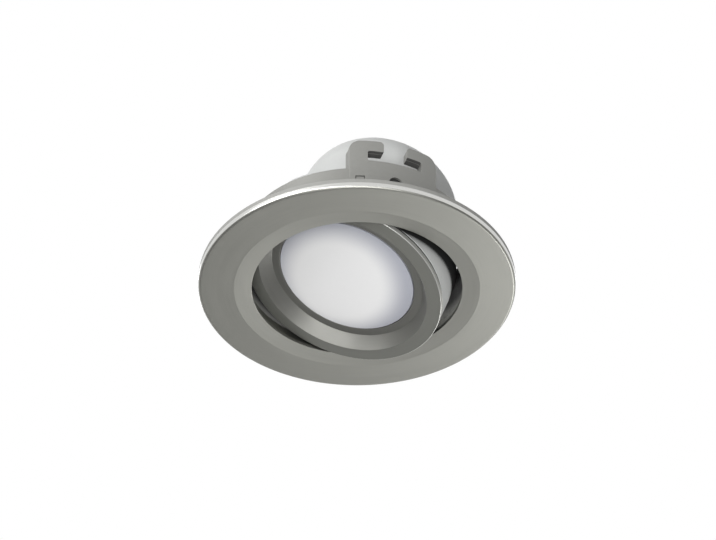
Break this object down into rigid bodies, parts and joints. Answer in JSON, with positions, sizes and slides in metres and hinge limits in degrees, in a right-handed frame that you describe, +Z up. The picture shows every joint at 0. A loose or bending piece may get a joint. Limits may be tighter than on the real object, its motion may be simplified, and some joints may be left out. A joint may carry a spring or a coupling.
{
  "type": "recessed spotlight",
  "caption": "Round recessed ceiling spotlight with a satin-nickel trim ring and a tilting head behind an opal diffuser, held in a standard ceiling cut-out.",
  "frame": {"origin": "lamp axis at the ceiling plane, which is the rear face of the trim ring's flange", "axes": "+Z up into the ceiling void along the collar's axis, Y along the tilt axis, X the way the head leans"},
  "size_m": [0.09, 0.09, 0.0583],
  "materials": {
    "satin_nickel": "satin nickel, fine circular brushing",
    "steel": "zinc plated",
    "fibre": "hard fibre",
    "opal": "opal, satin",
    "black_rubber": "matte",
    "white_plastic": "white, glossy",
    "board_metal": "white solder mask",
    "phosphor": "phosphor yellow",
    "bare_aluminium": "turned",
    "copper": "tinned copper",
    "grey_plastic": "moulded",
    "circuit_board": "green solder mask",
    "dark_plastic": "moulded",
    "ferrite": "sintered",
    "light_housing": "light grey, moulded"
  },
  "bodies": {
    "frame": {"trim_ring": "satin_nickel", "mounting_collar": "satin_nickel", "pivot_block_near": "satin_nickel", "pivot_block_far": "satin_nickel", "pivot_pins": "steel", "friction_washers": "fibre"},
    "head": {"bezel_ring": "satin_nickel", "diffuser": "opal", "diffuser_gasket": "black_rubber", "reflector_cup": "white_plastic", "led_board": "board_metal", "led_chips": "phosphor", "board_screws": "steel", "heat_spreader": "bare_aluminium", "led_leads": "copper", "insulation_tray": "grey_plastic", "driver_board": "circuit_board", "driver_capacitor": "dark_plastic", "driver_transformer": "ferrite", "driver_choke": "ferrite", "driver_rectifier": "dark_plastic", "driver_controller": "dark_plastic", "driver_fuse": "steel", "terminal_block": "grey_plastic", "module_housing": "light_housing", "cable_grommet": "black_rubber", "housing_screws": "steel"}
  },
  "joints": [
    {"name": "head_tilt", "type": "hinge", "parent": "frame", "child": "head", "pos_m": [0, 0, 0.00985], "axis": [0, 1, 0], "range_deg": [-45.3, 4.7]}
  ]
}
